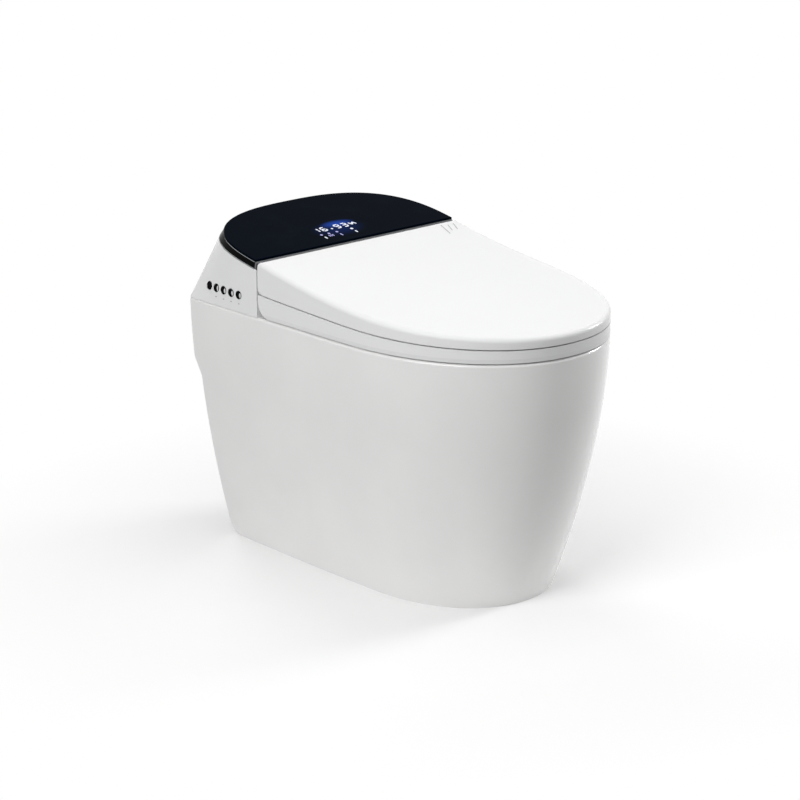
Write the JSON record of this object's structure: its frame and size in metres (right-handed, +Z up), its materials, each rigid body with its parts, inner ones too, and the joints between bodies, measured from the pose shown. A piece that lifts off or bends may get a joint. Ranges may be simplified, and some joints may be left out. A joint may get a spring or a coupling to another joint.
{
  "type": "smart toilet",
  "caption": "One-piece floor-standing smart toilet with a slim sloping lid and heated seat, a tilted black glass control panel with display, side buttons, a wash nozzle and a warm air dryer.",
  "frame": {"origin": "on the floor under the middle of the bounding box", "axes": "+Z up, -Y to the front where the user sits, +Y to the wall, +X across the width; the side buttons are on the -X flank"},
  "size_m": [0.4002, 0.619, 0.5078],
  "materials": {
    "glazed_ceramic": "gloss glaze",
    "white_gloss": "gloss",
    "white_liner": "satin",
    "black_glass": "polished, opaque",
    "black_bezel": "gloss",
    "chrome_trim": "polished",
    "grey_plastic": "satin",
    "steel": "brushed",
    "damper_plastic": "satin",
    "nozzle_white": "gloss",
    "rubber": "matte",
    "board_green": "satin",
    "heater_film": "satin"
  },
  "bodies": {
    "base": {"ceramic_body": "glazed_ceramic", "bowl_and_trap": "glazed_ceramic", "outlet_seal": "rubber", "service_plate": "grey_plastic", "base_plate": "grey_plastic", "base_plate_bolts": "steel", "rear_housing": "white_gloss", "panel_front_trim": "chrome_trim", "panel_bezel": "black_bezel", "glass_panel": "black_glass", "display_module": "black_bezel", "hinge_pins": "steel", "seat_damper": "damper_plastic", "lid_damper": "damper_plastic", "nozzle_guide": "grey_plastic", "nozzle_motor": "steel", "water_heater": "grey_plastic", "power_supply": "steel", "diverter_valve": "grey_plastic", "inlet_valve": "grey_plastic", "wash_pump": "steel", "deodorizer_cartridge": "grey_plastic", "control_board": "board_green", "dryer_housing": "grey_plastic", "dryer_motor": "steel", "dryer_duct": "grey_plastic", "flush_tank": "grey_plastic", "flush_pump": "steel", "flush_pipe": "grey_plastic", "inlet_connector": "chrome_trim", "power_gland": "grey_plastic", "button_carrier": "grey_plastic"},
    "seat": {"seat_top_shell": "white_gloss", "seat_bottom_shell": "white_liner", "seat_heater": "heater_film", "seat_bumpers": "rubber"},
    "lid": {"lid_shell": "white_gloss", "lid_liner": "white_liner", "lid_bumpers": "rubber"},
    "button_1": {"side_button_1": "black_bezel"},
    "button_2": {"side_button_2": "black_bezel"},
    "button_3": {"side_button_3": "black_bezel"},
    "button_4": {"side_button_4": "black_bezel"},
    "button_5": {"side_button_5": "black_bezel"},
    "nozzle": {"nozzle_wand": "nozzle_white", "nozzle_tip": "nozzle_white"},
    "dryer_wheel": {"dryer_wheel": "damper_plastic"}
  },
  "joints": [
    {"name": "seat_hinge", "type": "hinge", "parent": "base", "child": "seat", "pos_m": [0, 0.1303, 0.4625], "axis": [1, 0, 0], "range_deg": [-95, 0]},
    {"name": "lid_hinge", "type": "hinge", "parent": "seat", "child": "lid", "pos_m": [0, 0.1303, 0.4625], "axis": [-1, 0, 0], "range_deg": [0, 100]},
    {"name": "button_1_press", "type": "slide", "parent": "base", "child": "button_1", "axis": [1, 0, 0], "range_m": [0, 0.0015], "stiffness_N_per_m": 250},
    {"name": "button_2_press", "type": "slide", "parent": "base", "child": "button_2", "axis": [1, 0, 0], "range_m": [0, 0.0015], "stiffness_N_per_m": 250},
    {"name": "button_3_press", "type": "slide", "parent": "base", "child": "button_3", "axis": [1, 0, 0], "range_m": [0, 0.0015], "stiffness_N_per_m": 250},
    {"name": "button_4_press", "type": "slide", "parent": "base", "child": "button_4", "axis": [1, 0, 0], "range_m": [0, 0.0015], "stiffness_N_per_m": 250},
    {"name": "button_5_press", "type": "slide", "parent": "base", "child": "button_5", "axis": [1, 0, 0], "range_m": [0, 0.0015], "stiffness_N_per_m": 250},
    {"name": "nozzle_slide", "type": "slide", "parent": "base", "child": "nozzle", "axis": [0, -0.9511, -0.309], "range_m": [0, 0.1]},
    {"name": "dryer_spin", "type": "hinge", "parent": "base", "child": "dryer_wheel", "pos_m": [0.088, 0.2067, 0.41], "axis": [0, 0, 1], "continuous": true}
  ]
}
